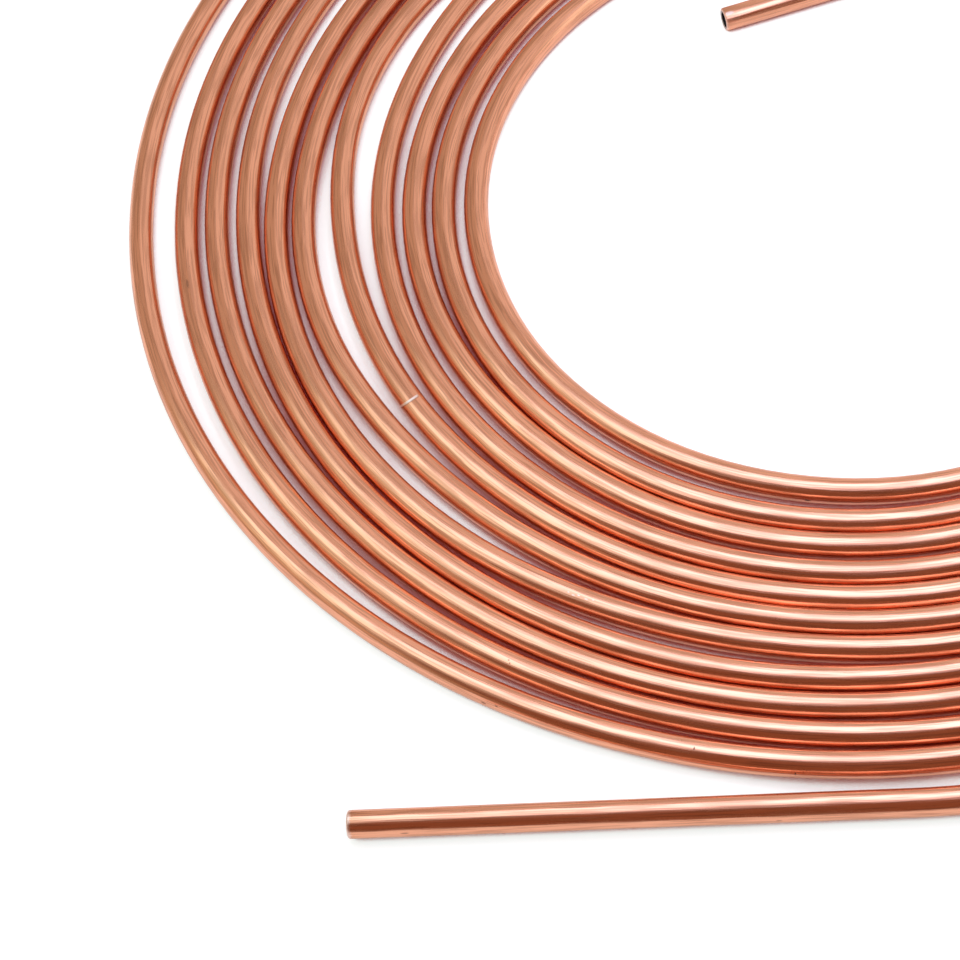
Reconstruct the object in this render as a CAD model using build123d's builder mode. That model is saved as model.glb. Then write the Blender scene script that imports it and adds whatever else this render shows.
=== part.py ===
from build123d import *

import os
from math import cos, radians, sin, sqrt

# A 25 foot roll of 3/16 inch steel brake line, as it lies on a bench after its tie is cut.
# One tube is wound into a flat spiral. Both ends leave the spiral as short straight tails.
# X is to the right, Y to the back and Z up. The origin is on the floor, in the middle of the
# coil's outline. All sizes are in millimetres.

# The tube
tube_diameter = 4.7625
wall = 0.71
end_rounding = 0.45
bore_deburr = 0.15
stock_length = 7620

# The two ends. The inner one is placed from the winding axis, and its tail points at the bend
# that leads it into the first turn.
inner_end = (-14.6, 43.7)
inner_tail_heading = 5.5
inner_tail = 25
outer_tail = 91.5

# The tube is laid clockwise from the eye outwards, and crosses these rays from the winding axis
# on every turn. They are in degrees, anticlockwise from X. The coil is loose, so each ray has
# its own clear gaps between one turn and the next, from the eye outwards. The last gap on a ray
# is repeated for as many turns as the stock length gives.
rays = [330, 270, 240, 210, 180, 150, 120, 70, 20]
first_turn_at = {
    330: 69.8,
    270: 77.6,
    240: 77.4,
    210: 75.8,
    180: 73.6,
    150: 71.6,
    120: 69.7,
    70: 66.3,
    20: 68.4,
}
clear_gaps_at = {
    330: [1.8, 1.1],
    270: [1.4, 0.2, 0.8, 0.2, 0.2, 0.3, 0.3, 0.4, 0.8, 0.2, 2.9],
    240: [1.8, 0.2, 0.9, 0.3, 0.2, 0.4, 1.5, 0.3, 0.4, 1.0, 1.5],
    210: [1.7, 0.2, 1.4, 0.8, 1.3, 2.2, 0.4, 0.3, 1.1, 2.4],
    180: [1.6, 1.0, 1.3, 2.5, 3.4, 0.8, 0.4, 1.3, 1.3, 4.1],
    150: [1.8, 1.2, 2.4, 4.8, 1.1, 1.1, 2.7, 1.8, 1.3, 4.9],
    120: [2.5, 1.5, 4.2, 2.2, 1.9, 1.8, 3.8, 1.6, 1.5, 5.1],
    70: [2.8],
    20: [2.2],
}


def distance_out(ray, turn):
    """How far the tube's centre line is from the winding axis where a turn crosses a ray."""
    gaps = clear_gaps_at[ray]
    opened = sum(gaps[:turn]) + gaps[-1] * max(0, turn - len(gaps))
    return first_turn_at[ray] + turn * tube_diameter + opened


def crossing(count):
    """Angle and distance from the axis of one crossing, counted from the eye outwards."""
    turn, place = divmod(count, len(rays))
    return radians(rays[place] - 360 * turn), distance_out(rays[place], turn)


def rise_after(count):
    """How far the tube moves outwards for each radian, from one crossing to the next."""
    angle, distance = crossing(count)
    next_angle, next_distance = crossing(count + 1)
    return (next_distance - distance) / (angle - next_angle)


def station(count):
    """Point on the centre line at a crossing, and the direction in which the tube is laid there."""
    angle, distance = crossing(count)
    rise = rise_after(count)
    if count:
        span_before = crossing(count - 1)[0] - angle
        span_after = angle - crossing(count + 1)[0]
        rise = rise_after(count - 1) * span_after + rise * span_before
        rise /= span_before + span_after
    outward = Vector(cos(angle), sin(angle))
    clockwise = Vector(sin(angle), -cos(angle))
    return outward * distance, (clockwise * distance + outward * rise).normalized()


def meeting_point(start, start_direction, end, end_direction):
    """Where two arcs meet that leave start and reach end in the given directions."""
    across = end - start
    both = start_direction + end_direction
    turning = 2 * (1 - start_direction.dot(end_direction))
    along = across.dot(both)
    reach = (sqrt(along**2 + turning * across.dot(across)) - along) / turning
    return (start + start_direction * reach + end - end_direction * reach) / 2


os.makedirs("parts", exist_ok=True)

# The winding: the inner tail, then two tangent arcs from each ray to the next, until there is
# enough of it for the stock length
tail_angle = radians(inner_tail_heading)
tail_direction = Vector(cos(tail_angle), sin(tail_angle))
wound_length = stock_length - outer_tail

with BuildLine() as winding:
    tail = Line(inner_end, Vector(inner_end) + tail_direction * inner_tail)
    place, direction = tail @ 1, tail % 1
    laid = inner_tail
    count = 0
    while laid < wound_length:
        next_place, next_direction = station(count)
        middle = meeting_point(place, direction, next_place, next_direction)
        leaving = TangentArc(place, middle, tangent=direction)
        reaching = TangentArc(middle, next_place, tangent=leaving % 1)
        laid += leaving.length + reaching.length
        place, direction = next_place, next_direction
        count += 1

# The centre line: the winding cut to length, and the outer tail straight on from it
wound = winding.wire().trim(0, wound_length / winding.wire().length)
with BuildLine() as route:
    add(wound)
    Line(wound @ 1, wound @ 1 + (wound % 1) * outer_tail)

outline = route.wire().bounding_box().center()
centre_line = route.wire().moved(Location((-outline.X, -outline.Y, tube_diameter / 2)))

# The tube, with its cut ends rounded outside and deburred inside
with BuildPart() as brake_line:
    with BuildSketch(Plane(origin=centre_line @ 0, z_dir=centre_line % 0)):
        Circle(tube_diameter / 2)
        Circle(tube_diameter / 2 - wall, mode=Mode.SUBTRACT)
    sweep(path=centre_line)
    cut_ends = brake_line.faces().filter_by(GeomType.PLANE)
    fillet([face.outer_wire().edge() for face in cut_ends], end_rounding)
    cut_ends = brake_line.faces().filter_by(GeomType.PLANE)
    chamfer([face.inner_wires()[0].edge() for face in cut_ends], bore_deburr)

brake_line.part.label = "brake_line"
export_step(brake_line.part, "parts/brake_line.step")

print("centre line", round(centre_line.length, 2), "in", len(centre_line.edges()), "pieces")
print("coil outline", centre_line.bounding_box().size, "moved by", outline)
for share in (0, 1):
    print("end at", centre_line @ share, "direction", centre_line % share)
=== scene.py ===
import math

import bpy
import numpy as np
from mathutils import Matrix, Vector


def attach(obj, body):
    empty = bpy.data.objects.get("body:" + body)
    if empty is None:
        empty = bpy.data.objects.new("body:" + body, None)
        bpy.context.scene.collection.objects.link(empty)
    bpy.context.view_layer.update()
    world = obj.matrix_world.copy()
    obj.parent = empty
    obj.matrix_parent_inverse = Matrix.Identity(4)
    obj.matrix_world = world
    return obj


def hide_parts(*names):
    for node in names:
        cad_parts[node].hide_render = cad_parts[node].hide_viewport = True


# A flat coil of copper-coated brake line on a white table under a wide soft light. The CAD tube
# is replaced by a finer mesh on the same route, which carries the copper, the bare cut ends and
# the marks of handling. X is to the right, Y to the back and Z up. Sizes of the tube and its
# marks are in millimetres, as on the CAD side. The camera, the table and the light are in metres.

MM = 0.001

# Tube and coil sizes, as modelled in CAD
TUBE_DIAMETER = 4.7625
WALL = 0.71
END_ROUNDING = 0.45
BORE_DEBURR = 0.15
STOCK_LENGTH = 7620
INNER_END = (-14.6, 43.7)
INNER_TAIL_HEADING = 5.5
INNER_TAIL = 25
OUTER_TAIL = 91.5
RAYS = [330, 270, 240, 210, 180, 150, 120, 70, 20]
FIRST_TURN_AT = {
    330: 69.8,
    270: 77.6,
    240: 77.4,
    210: 75.8,
    180: 73.6,
    150: 71.6,
    120: 69.7,
    70: 66.3,
    20: 68.4,
}
CLEAR_GAPS_AT = {
    330: [1.8, 1.1],
    270: [1.4, 0.2, 0.8, 0.2, 0.2, 0.3, 0.3, 0.4, 0.8, 0.2, 2.9],
    240: [1.8, 0.2, 0.9, 0.3, 0.2, 0.4, 1.5, 0.3, 0.4, 1.0, 1.5],
    210: [1.7, 0.2, 1.4, 0.8, 1.3, 2.2, 0.4, 0.3, 1.1, 2.4],
    180: [1.6, 1.0, 1.3, 2.5, 3.4, 0.8, 0.4, 1.3, 1.3, 4.1],
    150: [1.8, 1.2, 2.4, 4.8, 1.1, 1.1, 2.7, 1.8, 1.3, 4.9],
    120: [2.5, 1.5, 4.2, 2.2, 1.9, 1.8, 3.8, 1.6, 1.5, 5.1],
    70: [2.8],
    20: [2.2],
}
RADIUS = TUBE_DIAMETER / 2
BORE_RADIUS = RADIUS - WALL
DEBURRED_RADIUS = BORE_RADIUS + BORE_DEBURR

# Mesh fineness: faces round the tube, the longest steps along its outside and its bore, steps
# round the edge of a cut end, steps in which the route is read to find its outline, and the
# angle in degrees from which an edge is sharp
SIDES = 32
OUTER_STEP = 3.9
BORE_STEP = 10
ROUNDING_STEPS = 4
OUTLINE_STEP = 0.5
SHARP_ANGLE = 30

# The unrolled surface, in rows one above the other for the baked picture, with a gap between
# them. The bore is squeezed, because it hardly shows.
BAKE_ROW = 390
BAKE_PITCH = 15.6
BAKE_ROW_GAP = 1
BAKE_BORE_SHARE = 0.25
BAKE_MARGIN = 0.001

# The materials of the tube, in the order of its slots. The bore's is painted near black as shade.
PLAIN_COPPER, CUT_STEEL, SHADE_PAINTED_BORE, MARKED_COPPER = range(4)

# The camera, which stands over the left front of the coil with a tilted horizon
CAMERA_PLACE = (-0.08216, -0.29661, 0.3399)
CAMERA_PITCH = 54.74
CAMERA_ROLL = 12.49
CAMERA_LENS = 86.51
SENSOR = 36.0

COPPER = (0.96, 0.48, 0.30, 1.0)
COPPER_DULL = (0.70, 0.34, 0.205, 1.0)
COPPER_DARK = (0.07, 0.03, 0.022, 1.0)
COPPER_WORN = (0.96, 0.80, 0.72, 1.0)
STEEL = (0.62, 0.61, 0.59, 1.0)
# The bore's steel is painted near black: painted shade in the deep bore
BORE_STEEL_PAINTED_SHADE = (0.05, 0.05, 0.05, 1.0)
WHITE = (1.0, 1.0, 1.0, 1.0)

# Noises in the copper: how much of the tube's length counts, so that they run along it, their
# fineness for each millimetre, their detail and their roughness
FLAT_NOISE = (0.012, 0.9, 0.0, 0.5)
LINE_NOISE = (0.030, 3.0, 1.0, 0.6)
DENT_NOISE = (0.25, 0.45, 0.0, 0.5)
STREAK_NOISE = (0.040, 1.5, 2.0, 0.6)
PATCH_NOISE = (0.30, 0.30, 0.0, 0.5)
# Where each noise starts to show and where it shows in full, and the range that noises fill
LINES_SHOW = (0.48, 0.62)
STREAKS_SHOW = (0.42, 0.66)
PATCHES_SHOW = (0.30, 0.60)
GRAIN_SHOWS = (0.35, 0.65)
NOISE_RANGE = (0.3, 0.7)
# Heights of the relief: the flats left by drawing, the fine lines in them and the slight dents
# of handling
FLATS = 0.050
DRAW_LINES = 0.020
DENTS = 0.030
# The copper's roughness from line to line, what dull streaks, marks and the dulled inner end
# add to it, and how strongly the streaks are coloured
COPPER_ROUGHNESS = (0.19, 0.25)
DULL_ROUGHNESS = 0.08
MARK_ROUGHNESS = 0.25
DULLED_ROUGHNESS = 0.12
DULL_COLOUR = 0.8
# The grain of bare steel: the detail and roughness of its noise, and how much rougher and
# darker the metal is in places
GRAIN_NOISE = (3.0, 0.6)
GRAIN_ROUGHNESS = 0.15
GRAIN_DARKER = 0.6

# Small dark marks: distance along the tube, angle round it from the top outwards, half length,
# half width, darkness
MARKS = [
    (840.5, 55, 0.22, 0.18, 0.8),
    (3797.0, 50, 0.25, 0.20, 0.9),
    (3791.8, 38, 0.12, 0.10, 0.7),
    (3632.6, 70, 0.12, 0.12, 0.7),
    (246.3, 88, 0.50, 0.25, 0.8),
    (4335.8, -38, 0.20, 0.20, 0.9),
    (6694.0, 13, 0.12, 0.30, 0.8),
    (6677.6, 74, 0.10, 0.35, 0.8),
    (5905.6, 10, 0.14, 0.12, 0.8),
    (5905.2, 20, 0.14, 0.12, 0.7),
    (6730.4, 80, 0.50, 0.20, 0.6),
    (6728.0, 68, 0.30, 0.15, 0.6),
    (6020.8, -15, 0.12, 0.12, 0.5),
    (6016.4, 5, 1.20, 0.25, 0.5),
    (5142.4, 88, 0.40, 0.20, 0.5),
    (7610.4, 74, 0.70, 0.18, 0.45),
    (7550.0, 84, 0.50, 0.15, 0.5),
    (2.0, -55, 0.90, 0.32, 0.45),
]
# Small bright spots, where the coating is rubbed, written in the same way
SCUFFS = [
    (3662.4, 17, 0.35, 0.12, 0.7),
    (3663.9, 13, 0.25, 0.10, 0.8),
    (3664.8, 20, 0.30, 0.12, 0.7),
    (3665.8, 15, 0.20, 0.10, 0.6),
    (3661.2, 11, 0.20, 0.10, 0.6),
    (1.0, -20, 0.95, 0.38, 0.8),
]
# How far from its middle a mark may reach along the tube
MARK_REACH = 5
# A mark starts to show at the first of these shares of its half length and half width, and
# shows in full at the second
MARK_FADES = (1.3, 0.6)

# A bright line is scored once, slantwise over the top of the tube, and has one brown edge. It
# crosses the top at the first of these distances along the tube, and its slanting plane meets
# the tube's middle line at the second.
SCORE_AT = 2421.4
SCORE_MIDDLE_AT = 2423.08
# How far it moves back along the tube for each millimetre outwards and up
SCORE_LEAN_ACROSS = 0.096
SCORE_LEAN_UP = 0.704
# Where it stops on the inner side, its half width, how far the brown edge reaches from its
# middle, the softness of its end and of its sides, and the darkness of the brown edge
SCORE_STOPS = -1.1
SCORE_WIDTH = 0.24
SCORE_EDGE = 0.52
SCORE_END_SOFT = 0.2
SCORE_SOFT = 0.06
SCORE_EDGE_DARK = 0.6

# The coating is worn away at the cut ends. The wear starts to show at the first of these
# distances from an end and shows in full at the second, with a ragged edge along the draw
# lines. The inner end is spared some of it.
WORN_FADES = (1.4, 0.6)
WORN_RAGGED = 0.8
WORN_SHARE = 0.85
INNER_END_SPARED = 0.5
# The coating is dulled over this length at the inner end
DULLED_END = 5

# How far the table reaches to each side. It is white by its own colour and by a glow that the
# camera sees. Its own colour is pinkish and the glow bluish, so that its shade takes a painted
# copper tint.
TABLE_REACH = 4
FLOOR_WHITE = (0.62, 0.46, 0.43, 1.0)
FLOOR_GLOW = (0.62, 0.76, 0.76, 1.0)
# The share of the glow that the copper reflects
GLOW_IN_METAL = 0.6
# Painted shade and painted bounce light in the gaps: the glow fades in gaps about as narrow as
# this reach, down to a faint red that is painted copper-coloured bounce light. Only that red is
# left where the share of open space over the table is the first of two or less, and the whole
# glow is there from the second on.
GAP_PAINTED_BOUNCE = (0.10, 0.0, 0.0, 1.0)
GAP_REACH = 0.010
GAP_FADES = (0.26, 0.38)
GAP_SAMPLES = 8

# A soft light panel over the front left of the coil, which dims and warms to the left. Each
# edge of its lit part is soft, from the first to the second of two places.
PANEL_HEIGHT = 0.200
PANEL_LOW = (-0.66, -0.27)
PANEL_HIGH = (0.13, 0.22)
PANEL_FRONT_EDGE = (-0.222, -0.086)
PANEL_BACK_EDGE = (0.012, 0.074)
PANEL_RIGHT_EDGE = (0.070, 0.120)
PANEL_LEFT_EDGE = (-0.64, -0.50)
# To the right of the origin its front edge comes forward. To the left of two places its front
# and back edges go back. The leans are for each metre to that side, and forward is positive.
FRONT_RIGHT_LEAN = 0.40
FRONT_BENDS_AT = -0.20
FRONT_LEFT_LEAN = -0.26
BACK_BENDS_AT = -0.12
BACK_LEFT_LEAN = -0.30
# Its light at the right, in the middle and at the left, and where one changes into the next
PANEL = (2.18, 2.28, 3.08, 1.0)
PANEL_MIDDLE = (1.34, 1.52, 1.54, 1.0)
PANEL_LEFT = (0.79, 0.78, 0.60, 1.0)
MIDDLE_TO_RIGHT = (-0.26, 0.02)
LEFT_TO_MIDDLE = (-0.50, -0.22)

# The room round it: pale walls behind and beside the coil, and the unlit side in front. They
# change over between these shares of a direction's way to the right or to the back.
WALL_RIGHT = (0.78, 0.69, 0.67, 1.0)
WALL_LEFT = (0.52, 0.42, 0.35, 1.0)
FAR_LEFT = (0.62, 0.50, 0.39, 1.0)
FRONT = (0.23, 0.094, 0.051, 1.0)
FRONT_RIGHT = (1.30, 1.28, 1.25, 1.0)
WALL_LEFT_TO_RIGHT = (-0.10, 0.20)
FRONT_TO_WALL = (-0.15, 0.20)
FRONT_TO_RIGHT = (0.40, 0.60)
FRONT_RIGHT_FORWARD = (-0.10, -0.30)
FAR_LEFT_TO_ROOM = (-0.92, -0.76)


def crossing(count):
    """Angle and distance from the winding axis of one crossing of a ray, eye outwards."""
    turn, place = divmod(count, len(RAYS))
    ray = RAYS[place]
    gaps = CLEAR_GAPS_AT[ray]
    opened = sum(gaps[:turn]) + gaps[-1] * max(0, turn - len(gaps))
    return math.radians(ray - 360 * turn), FIRST_TURN_AT[ray] + turn * TUBE_DIAMETER + opened


def rise_after(count):
    """Outward movement for each radian, from one crossing to the next."""
    angle, distance = crossing(count)
    next_angle, next_distance = crossing(count + 1)
    return (next_distance - distance) / (angle - next_angle)


def station(count):
    """Point on the centre line at a crossing, and the direction of the tube there."""
    angle, distance = crossing(count)
    rise = rise_after(count)
    if count:
        span_before = crossing(count - 1)[0] - angle
        span_after = angle - crossing(count + 1)[0]
        rise = rise_after(count - 1) * span_after + rise * span_before
        rise /= span_before + span_after
    outward = np.array([math.cos(angle), math.sin(angle)])
    clockwise = np.array([math.sin(angle), -math.cos(angle)])
    way = clockwise * distance + outward * rise
    return outward * distance, way / np.hypot(*way)


def meeting_point(start, start_way, end, end_way):
    """Where two tangent arcs meet that leave start and reach end in the given directions."""
    across = end - start
    both = start_way + end_way
    turning = 2 * (1 - start_way @ end_way)
    along = across @ both
    reach = (math.sqrt(along**2 + turning * (across @ across)) - along) / turning
    return (start + start_way * reach + end - end_way * reach) / 2


def arc_between(start, way, end):
    """(start, direction, curvature, length) of the arc that leaves start in a direction."""
    chord = end - start
    left = np.array([-way[1], way[0]])
    curvature = 2 * (chord @ left) / (chord @ chord)
    half_turn = math.asin(curvature * np.hypot(*chord) / 2)
    return start, way, curvature, 2 * half_turn / curvature


def along_piece(piece, distance):
    """Point and direction at a distance along a straight or an arc."""
    start, way, curvature, _ = piece
    left = np.array([-way[1], way[0]])
    if curvature == 0:
        return start + way * distance, way
    turned = curvature * distance
    point = start + (way * math.sin(turned) + left * (1 - math.cos(turned))) / curvature
    return point, way * math.cos(turned) + left * math.sin(turned)


def wind():
    """The pieces of the centre line from the inner end to the outer end."""
    heading = math.radians(INNER_TAIL_HEADING)
    way = np.array([math.cos(heading), math.sin(heading)])
    point = np.array(INNER_END)
    pieces = [(point, way, 0, INNER_TAIL)]
    point = point + way * INNER_TAIL
    laid = INNER_TAIL
    wound = STOCK_LENGTH - OUTER_TAIL
    count = 0
    while laid < wound:
        next_point, next_way = station(count)
        middle = meeting_point(point, way, next_point, next_way)
        leaving = arc_between(point, way, middle)
        reaching = arc_between(middle, along_piece(leaving, leaving[3])[1], next_point)
        for piece in (leaving, reaching):
            length = min(piece[3], wound - laid)
            if length > 0:
                pieces.append((*piece[:3], length))
                laid += length
        point, way = next_point, next_way
        count += 1
    point, way = along_piece(pieces[-1], pieces[-1][3])
    pieces.append((point, way, 0, OUTER_TAIL))
    return pieces


def read_line(pieces, distances):
    """Points and directions of the centre line at distances from its inner end."""
    starts = np.cumsum([0] + [piece[3] for piece in pieces])
    found = []
    for distance in distances:
        place = min(int(np.searchsorted(starts, distance, "right")) - 1, len(pieces) - 1)
        found.append(along_piece(pieces[place], distance - starts[place]))
    return np.array([f[0] for f in found]), np.array([f[1] for f in found])


def tube_rings():
    """(distance from the inner end, radius) of the rings: out along the outside, round the
    outer end, back along the bore and round the inner end."""
    outer_count = math.ceil((STOCK_LENGTH - 2 * END_ROUNDING) / OUTER_STEP) + 1
    bore_count = math.ceil((STOCK_LENGTH - 2 * BORE_DEBURR) / BORE_STEP) + 1
    outside = np.linspace(END_ROUNDING, STOCK_LENGTH - END_ROUNDING, outer_count)
    inside = np.linspace(STOCK_LENGTH - BORE_DEBURR, BORE_DEBURR, bore_count)
    end = []
    for step in range(1, ROUNDING_STEPS + 1):
        turned = math.pi / 2 * step / ROUNDING_STEPS
        depth = END_ROUNDING * (1 - math.sin(turned))
        end.append((depth, RADIUS - END_ROUNDING * (1 - math.cos(turned))))
    end.append((0, DEBURRED_RADIUS))
    rings = [(at, RADIUS) for at in outside]
    rings += [(STOCK_LENGTH - depth, radius) for depth, radius in end]
    rings += [(at, BORE_RADIUS) for at in inside]
    rings += [(depth, radius) for depth, radius in reversed(end)]
    return np.array(rings)


def tube_corners(rings, points, ways):
    """The corners of every ring, in metres, and their places in the tube's own coordinates:
    along it, across it and up from its middle, in millimetres."""
    beside = np.stack([-ways[:, 1], ways[:, 0]], 1)
    turned = 2 * math.pi * np.arange(SIDES) / SIDES
    across = rings[:, 1:] * np.cos(turned)
    up = rings[:, 1:] * np.sin(turned)
    plan = points[:, None, :] + beside[:, None, :] * across[:, :, None]
    corners = np.concatenate([plan, RADIUS + up[:, :, None]], 2) * MM
    own = np.stack([np.broadcast_to(rings[:, :1], up.shape), across, up], 2)
    return corners.reshape(-1, 3), own.reshape(-1, 3)


def tube_faces(ring_count):
    """Bands of faces from each ring to the next, and from the last one to the first."""
    ring, side = np.meshgrid(np.arange(ring_count), np.arange(SIDES), indexing="ij")
    after, beyond = (ring + 1) % ring_count, (side + 1) % SIDES
    here, there = ring * SIDES, after * SIDES
    corners = [here + side, here + beyond, there + beyond, there + side]
    return np.stack(corners, 2).reshape(-1, 4)


def tube_slots(rings, in_bore):
    """The material slot of each band of faces."""
    radii, next_radii = rings[:, 1], np.roll(rings[:, 1], -1)
    cut = (radii == DEBURRED_RADIUS) | (next_radii == DEBURRED_RADIUS)
    halfway = (rings[:, 0] + np.roll(rings[:, 0], -1)) / 2
    marked = (halfway < DULLED_END + MARK_REACH) | (halfway > STOCK_LENGTH - MARK_REACH)
    for at in [SCORE_AT] + [mark[0] for mark in MARKS + SCUFFS]:
        marked |= abs(halfway - at) < MARK_REACH
    copper_slots = np.where(marked, MARKED_COPPER, PLAIN_COPPER)
    return np.where(cut, CUT_STEEL, np.where(in_bore, SHADE_PAINTED_BORE, copper_slots))


def bake_places(rings, in_bore):
    """Places of the faces' corners in the baked picture. The way from ring to ring runs along
    the rows, and the way round the tube runs up them."""
    steps = np.hypot(*(np.roll(rings, -1, 0) - rings).T)
    steps = steps * np.where(in_bore, BAKE_BORE_SHARE, 1)
    starts = np.cumsum(steps) - steps
    row = starts // BAKE_ROW
    row_height = BAKE_PITCH - BAKE_ROW_GAP
    low = row[:, None] * BAKE_PITCH + row_height * np.arange(SIDES) / SIDES
    high = low + row_height / SIDES
    left = np.broadcast_to((starts - row * BAKE_ROW)[:, None], low.shape)
    right = left + steps[:, None]
    places = np.stack([left, low, left, high, right, high, right, low], 2)
    return places / max(right.max(), high.max()) * (1 - 2 * BAKE_MARGIN) + BAKE_MARGIN


def tube_mesh(pieces, shift):
    """The tube as one closed mesh, outside, cut ends and bore, with its own coordinates."""
    rings = tube_rings()
    points, ways = read_line(pieces, rings[:, 0])
    corners, own = tube_corners(rings, points + shift, ways)
    faces = tube_faces(len(rings))
    in_bore = (rings[:, 1] == BORE_RADIUS) & (np.roll(rings[:, 1], -1) == BORE_RADIUS)

    mesh = bpy.data.meshes.new("copper_tube")
    mesh.from_pydata(corners.tolist(), [], faces.tolist())
    mesh.polygons.foreach_set("material_index", np.repeat(tube_slots(rings, in_bore), SIDES))
    mesh.polygons.foreach_set("use_smooth", [True] * len(faces))
    mesh.set_sharp_from_angle(angle=math.radians(SHARP_ANGLE))
    attribute = mesh.attributes.new("along_tube", "FLOAT_VECTOR", "POINT")
    attribute.data.foreach_set("vector", own.astype(np.float32).ravel())
    layer = mesh.uv_layers.new(name="OFBake")
    layer.data.foreach_set("uv", bake_places(rings, in_bore).astype(np.float32).ravel())
    mesh.update()
    return mesh


class Nodes:
    """Short ways to add nodes to a material or a world."""

    def __init__(self, owner):
        owner.use_nodes = True
        self.tree = owner.node_tree
        self.tree.nodes.clear()

    def add(self, kind, **settings):
        node = self.tree.nodes.new(kind)
        for name, value in settings.items():
            setattr(node, name, value)
        return node

    def put(self, value, socket):
        """Links an output to a socket, or sets the socket to a plain value."""
        if isinstance(value, bpy.types.NodeSocket):
            self.tree.links.new(value, socket)
        elif value is not None:
            socket.default_value = value

    def fill(self, node, values):
        """Puts values on the first sockets of a node, in their order."""
        for socket, value in zip(node.inputs, values):
            self.put(value, socket)
        return node

    def math(self, operation, a, b=None, c=None):
        node = self.add("ShaderNodeMath", operation=operation)
        return self.fill(node, (a, b, c)).outputs[0]

    def product(self, first, *others):
        for other in others:
            first = self.math("MULTIPLY", first, other)
        return first

    def highest(self, first, *others):
        for other in others:
            first = self.math("MAXIMUM", first, other)
        return first

    def vector(self, operation, a, b=None):
        node = self.add("ShaderNodeVectorMath", operation=operation)
        return self.fill(node, (a, b)).outputs["Value" if operation == "LENGTH" else "Vector"]

    def split(self, vector):
        return self.fill(self.add("ShaderNodeSeparateXYZ"), (vector,)).outputs

    def combine(self, x, y, z):
        return self.fill(self.add("ShaderNodeCombineXYZ"), (x, y, z)).outputs[0]

    def noise(self, vector, scale, detail, roughness):
        node = self.add("ShaderNodeTexNoise")
        self.put(vector, node.inputs["Vector"])
        self.put(scale, node.inputs["Scale"])
        self.put(detail, node.inputs["Detail"])
        self.put(roughness, node.inputs["Roughness"])
        return node.outputs["Fac"]

    def ramp(self, value, low, high, to_low=0.0, to_high=1.0):
        """A smooth step from low to high."""
        node = self.add("ShaderNodeMapRange", interpolation_type="SMOOTHSTEP")
        return self.fill(node, (value, low, high, to_low, to_high)).outputs[0]

    def mix(self, factor, a, b):
        node = self.add("ShaderNodeMix", data_type="RGBA")
        self.put(factor, node.inputs[0])
        self.put(a, node.inputs[6])
        self.put(b, node.inputs[7])
        return node.outputs[2]

    def metal(self, colour, roughness):
        """The shader node of a metal."""
        shader = self.add("ShaderNodeBsdfPrincipled")
        self.put(colour, shader.inputs["Base Color"])
        self.put(1.0, shader.inputs["Metallic"])
        self.put(roughness, shader.inputs["Roughness"])
        return shader

    def glow(self, colour, strength):
        glow = self.add("ShaderNodeEmission")
        self.put(colour, glow.inputs["Color"])
        self.put(strength, glow.inputs["Strength"])
        return glow.outputs[0]

    def end(self, shader, kind="ShaderNodeOutputMaterial"):
        """Makes a shader the one that shows."""
        self.put(shader, self.add(kind).inputs["Surface"])


def own_coordinates(n):
    """The tube's own coordinates as one vector, and the distance from the inner end, the place
    across the tube and the height over its middle, in millimetres."""
    own = n.add("ShaderNodeAttribute", attribute_name="along_tube").outputs["Vector"]
    return own, *n.split(own)


def spots(n, own, places):
    """Up to 1 in the listed spots and 0 elsewhere."""
    found = 0.0
    for at, angle, half_length, half_width, strength in places:
        turned = math.radians(angle)
        place = (at, RADIUS * math.sin(turned), RADIUS * math.cos(turned))
        offset = n.vector("SUBTRACT", own, place)
        scaled = n.vector("MULTIPLY", offset, (1 / half_length, 1 / half_width, 1 / half_width))
        spot = n.ramp(n.vector("LENGTH", scaled), *MARK_FADES, 0.0, strength)
        found = n.highest(found, spot)
    return found


def score(n, along, across, up):
    """The scored line and its brown edge, each up to 1 where it shows."""
    off_score = n.math("MULTIPLY_ADD", across, SCORE_LEAN_ACROSS, along)
    off_score = n.math("MULTIPLY_ADD", up, SCORE_LEAN_UP, off_score)
    off_score = n.math("SUBTRACT", off_score, SCORE_MIDDLE_AT)
    in_reach = n.ramp(across, SCORE_STOPS - SCORE_END_SOFT, SCORE_STOPS + SCORE_END_SOFT)
    away = n.math("ABSOLUTE", off_score)
    line = n.ramp(away, SCORE_WIDTH + SCORE_SOFT, SCORE_WIDTH - SCORE_SOFT)
    edge = n.ramp(off_score, -SCORE_EDGE, -SCORE_WIDTH, 0.0, SCORE_EDGE_DARK)
    edge = n.product(edge, n.math("LESS_THAN", off_score, 0.0))
    return n.product(line, in_reach), n.product(edge, in_reach)


def worn_ends(n, along, lines):
    """How far the coating is worn away at the cut ends."""
    from_inner = n.math("ADD", along, INNER_END_SPARED)
    from_end = n.math("MINIMUM", from_inner, n.math("SUBTRACT", STOCK_LENGTH, along))
    ragged = n.math("MULTIPLY_ADD", lines, WORN_RAGGED, from_end)
    return n.ramp(ragged, *WORN_FADES, 0.0, WORN_SHARE)


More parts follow.
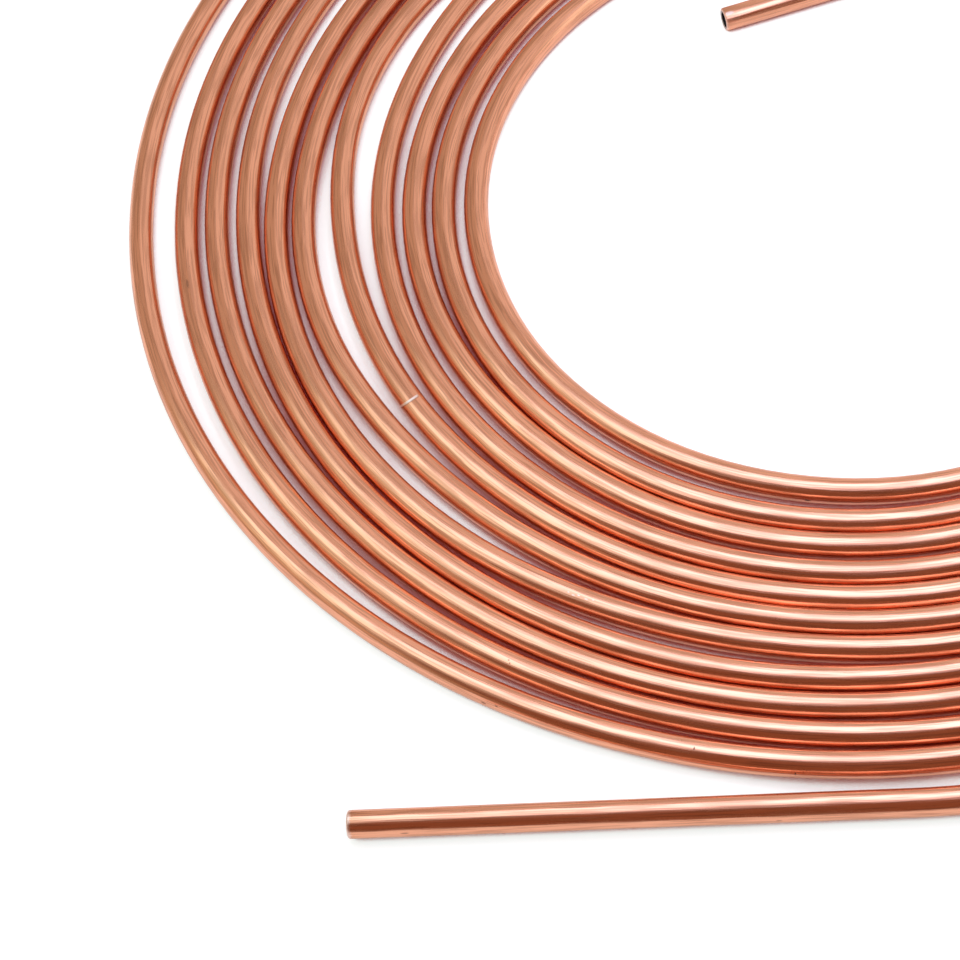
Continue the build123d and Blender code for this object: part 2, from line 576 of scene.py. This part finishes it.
def copper(name, marked):
    """Drawn copper coating: flats and fine lines along the tube, dull streaks, and the marks on
    the stretches that have any."""
    material = bpy.data.materials.new(name)
    n = Nodes(material)
    own, along, across, up = own_coordinates(n)

    def lengthwise(share, fineness, detail, roughness):
        """A noise that runs along the tube, because only a share of the length counts."""
        place = n.combine(n.math("MULTIPLY", along, share), across, up)
        return n.noise(place, fineness, detail, roughness)

    flats = lengthwise(*FLAT_NOISE)
    lines = lengthwise(*LINE_NOISE)
    dents = lengthwise(*DENT_NOISE)
    streaks = lengthwise(*STREAK_NOISE)
    patches = lengthwise(*PATCH_NOISE)

    dull = n.product(n.ramp(streaks, *STREAKS_SHOW), n.ramp(patches, *PATCHES_SHOW))
    colour = n.mix(n.math("MULTIPLY", dull, DULL_COLOUR), COPPER, COPPER_DULL)
    colour = n.mix(n.ramp(lines, *LINES_SHOW), colour, COPPER_DULL)
    roughness = n.ramp(lines, *NOISE_RANGE, *COPPER_ROUGHNESS)
    roughness = n.math("MULTIPLY_ADD", dull, DULL_ROUGHNESS, roughness)

    if marked:
        scored, scored_edge = score(n, along, across, up)
        dark = n.highest(spots(n, own, MARKS), scored_edge)
        bright = n.highest(scored, worn_ends(n, along, lines), spots(n, own, SCUFFS))
        colour = n.mix(bright, n.mix(dark, colour, COPPER_DARK), COPPER_WORN)
        rubbed = n.highest(dark, bright)
        roughness = n.math("MULTIPLY_ADD", rubbed, MARK_ROUGHNESS, roughness)
        dulled = n.ramp(along, DULLED_END, 0.0, 0.0, DULLED_ROUGHNESS)
        roughness = n.math("ADD", roughness, dulled)

    height = n.math("MULTIPLY", flats, FLATS)
    height = n.math("MULTIPLY_ADD", lines, DRAW_LINES, height)
    height = n.math("MULTIPLY_ADD", dents, DENTS, height)
    relief = n.add("ShaderNodeBump")
    n.put(1.0, relief.inputs["Strength"])
    n.put(MM, relief.inputs["Distance"])
    n.put(height, relief.inputs["Height"])

    shader = n.metal(colour, roughness)
    n.put(relief.outputs[0], shader.inputs["Normal"])
    n.end(shader.outputs[0])
    return material


def bare_steel(name, colour, roughness, grain):
    """Cut or drawn steel without its coating. The grain is the fineness of its marks."""
    material = bpy.data.materials.new(name)
    n = Nodes(material)
    marks = n.noise(own_coordinates(n)[0], grain, *GRAIN_NOISE)
    darker = tuple(c * GRAIN_DARKER for c in colour[:3]) + (1.0,)
    shown = n.mix(n.ramp(marks, *GRAIN_SHOWS), darker, colour)
    rough = n.ramp(marks, *NOISE_RANGE, roughness, roughness + GRAIN_ROUGHNESS)
    n.end(n.metal(shown, rough).outputs[0])
    return material


def make_tube():
    """The coil, on the CAD tube's route and in its place."""
    pieces = wind()
    route, _ = read_line(pieces, np.arange(0, STOCK_LENGTH, OUTLINE_STEP))
    shift = -(route.min(0) + route.max(0)) / 2
    mesh = tube_mesh(pieces, shift)
    materials = {
        PLAIN_COPPER: copper("copper_coating", marked=False),
        CUT_STEEL: bare_steel("cut_steel", STEEL, roughness=0.30, grain=3.0),
        # The bore is painted near black: painted shade where little light gets in
        SHADE_PAINTED_BORE: bare_steel("bore_steel_painted_shade", BORE_STEEL_PAINTED_SHADE, roughness=0.5, grain=2.0),
        MARKED_COPPER: copper("copper_with_marks", marked=True),
    }
    for slot in sorted(materials):
        mesh.materials.append(materials[slot])
    tube = bpy.data.objects.new("copper_tube", mesh)
    bpy.context.scene.collection.objects.link(tube)
    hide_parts("brake_line")
    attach(tube, "root")


def flat_piece(name, low, high, height):
    """A level rectangle of the stage, with its corners at low and high."""
    mesh = bpy.data.meshes.new(name)
    corners = [(low[0], low[1]), (high[0], low[1]), (high[0], high[1]), (low[0], high[1])]
    mesh.from_pydata([(x, y, height) for x, y in corners], [], [(0, 1, 2, 3)])
    piece = bpy.data.objects.new(name, mesh)
    bpy.context.scene.collection.objects.link(piece)
    return piece


def make_floor():
    """A white table. The camera and reflections see it near white, and shadows stay on it. Its
    glow fades in narrow gaps, which paints shade there, with a faint red painted bounce light.
    """
    reach = TABLE_REACH
    floor = flat_piece("table_top", (-reach, -reach), (reach, reach), 0)
    material = bpy.data.materials.new("table_white")
    n = Nodes(material)
    ray = n.add("ShaderNodeLightPath").outputs
    reflected = n.math("MULTIPLY", ray["Is Glossy Ray"], GLOW_IN_METAL)
    seen = n.highest(ray["Is Camera Ray"], ray["Is Transmission Ray"], reflected)
    shade = n.add("ShaderNodeAmbientOcclusion", samples=GAP_SAMPLES)
    n.put(GAP_REACH, shade.inputs["Distance"])
    # The glow fades in narrow gaps: painted shade, with a faint red painted bounce light left
    # there
    outside_painted_gap_shade = n.ramp(shade.outputs["AO"], *GAP_FADES)
    diffuse = n.add("ShaderNodeBsdfDiffuse")
    n.put(FLOOR_WHITE, diffuse.inputs["Color"])
    glow = n.glow(n.mix(outside_painted_gap_shade, GAP_PAINTED_BOUNCE, FLOOR_GLOW), seen)
    both = n.fill(n.add("ShaderNodeAddShader"), (diffuse.outputs[0], glow))
    n.end(both.outputs[0])
    floor.data.materials.append(material)


def make_panel():
    """The panel, with soft edges. It shines down and isn't in the camera's view."""
    panel = flat_piece("light_panel", PANEL_LOW, PANEL_HIGH, PANEL_HEIGHT)
    panel.visible_camera = False
    material = bpy.data.materials.new("panel_light")
    n = Nodes(material)
    x, y, _ = n.split(n.add("ShaderNodeTexCoord").outputs["Object"])

    def left_of(place):
        """How far to the left of a place a point lies, or 0 if it isn't."""
        return n.math("MAXIMUM", n.math("SUBTRACT", place, x), 0.0)

    front = n.math("MULTIPLY_ADD", left_of(FRONT_BENDS_AT), FRONT_LEFT_LEAN, y)
    front = n.math("MULTIPLY_ADD", n.math("MAXIMUM", x, 0.0), FRONT_RIGHT_LEAN, front)
    back = n.math("MULTIPLY_ADD", left_of(BACK_BENDS_AT), BACK_LEFT_LEAN, y)
    past_front = n.ramp(front, *PANEL_FRONT_EDGE)
    before_back = n.math("SUBTRACT", 1.0, n.ramp(back, *PANEL_BACK_EDGE))
    before_right = n.math("SUBTRACT", 1.0, n.ramp(x, *PANEL_RIGHT_EDGE))
    past_left = n.ramp(x, *PANEL_LEFT_EDGE)
    # The front edge counts twice, so that it is darker than the others on its way to full light
    lit = n.product(past_front, past_front, before_back, before_right, past_left)

    colour = n.mix(n.ramp(x, *MIDDLE_TO_RIGHT), PANEL_MIDDLE, PANEL)
    colour = n.mix(n.ramp(x, *LEFT_TO_MIDDLE), PANEL_LEFT, colour)
    clear = n.add("ShaderNodeBsdfTransparent").outputs[0]
    both = n.fill(n.add("ShaderNodeMixShader"), (lit, clear, n.glow(colour, 1.0)))
    n.end(both.outputs[0])
    panel.data.materials.append(material)


def make_room():
    """Soft light from all round, and a white background for the camera."""
    world = bpy.data.worlds.new("studio")
    bpy.context.scene.world = world
    n = Nodes(world)
    x, y, _ = n.split(n.add("ShaderNodeTexCoord").outputs["Generated"])
    wall = n.mix(n.ramp(x, *WALL_LEFT_TO_RIGHT), WALL_LEFT, WALL_RIGHT)
    to_right = n.ramp(x, *FRONT_TO_RIGHT)
    front = n.mix(to_right, FRONT, WALL_RIGHT)
    front = n.mix(n.product(to_right, n.ramp(y, *FRONT_RIGHT_FORWARD)), front, FRONT_RIGHT)
    room = n.mix(n.ramp(y, *FRONT_TO_WALL), front, wall)
    room = n.mix(n.ramp(x, *FAR_LEFT_TO_ROOM), FAR_LEFT, room)
    ray = n.add("ShaderNodeLightPath").outputs
    background = n.add("ShaderNodeBackground")
    in_view = n.highest(ray["Is Camera Ray"], ray["Is Transmission Ray"])
    n.put(n.mix(in_view, room, WHITE), background.inputs["Color"])
    n.put(1.0, background.inputs["Strength"])
    n.end(background.outputs[0], "ShaderNodeOutputWorld")


def make_camera():
    """Looks down along +Y with a tilted horizon, from over the coil's left front."""
    pitch, roll = math.radians(CAMERA_PITCH), math.radians(CAMERA_ROLL)
    forward = Vector((0, math.cos(pitch), -math.sin(pitch)))
    level_right = Vector((1, 0, 0))
    level_up = Vector((0, math.sin(pitch), math.cos(pitch)))
    right = level_right * math.cos(roll) - level_up * math.sin(roll)
    up = level_right * math.sin(roll) + level_up * math.cos(roll)
    data = bpy.data.cameras.new("camera")
    data.sensor_fit = "HORIZONTAL"
    data.sensor_width = SENSOR
    data.lens = CAMERA_LENS
    data.clip_start = 0.01
    data.clip_end = 50
    camera = bpy.data.objects.new("camera", data)
    turned = Matrix((right, up, -forward)).transposed().to_4x4()
    camera.matrix_world = Matrix.Translation(CAMERA_PLACE) @ turned
    bpy.context.scene.collection.objects.link(camera)
    bpy.context.scene.camera = camera


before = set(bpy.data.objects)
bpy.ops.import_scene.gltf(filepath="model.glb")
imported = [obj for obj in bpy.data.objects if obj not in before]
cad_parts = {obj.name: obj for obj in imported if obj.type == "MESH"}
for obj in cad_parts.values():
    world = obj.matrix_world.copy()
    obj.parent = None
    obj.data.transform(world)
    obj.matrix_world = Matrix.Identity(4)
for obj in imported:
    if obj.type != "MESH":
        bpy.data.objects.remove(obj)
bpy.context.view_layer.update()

make_tube()
make_floor()
make_panel()
make_room()
make_camera()
bpy.context.scene.view_settings.view_transform = "Standard"
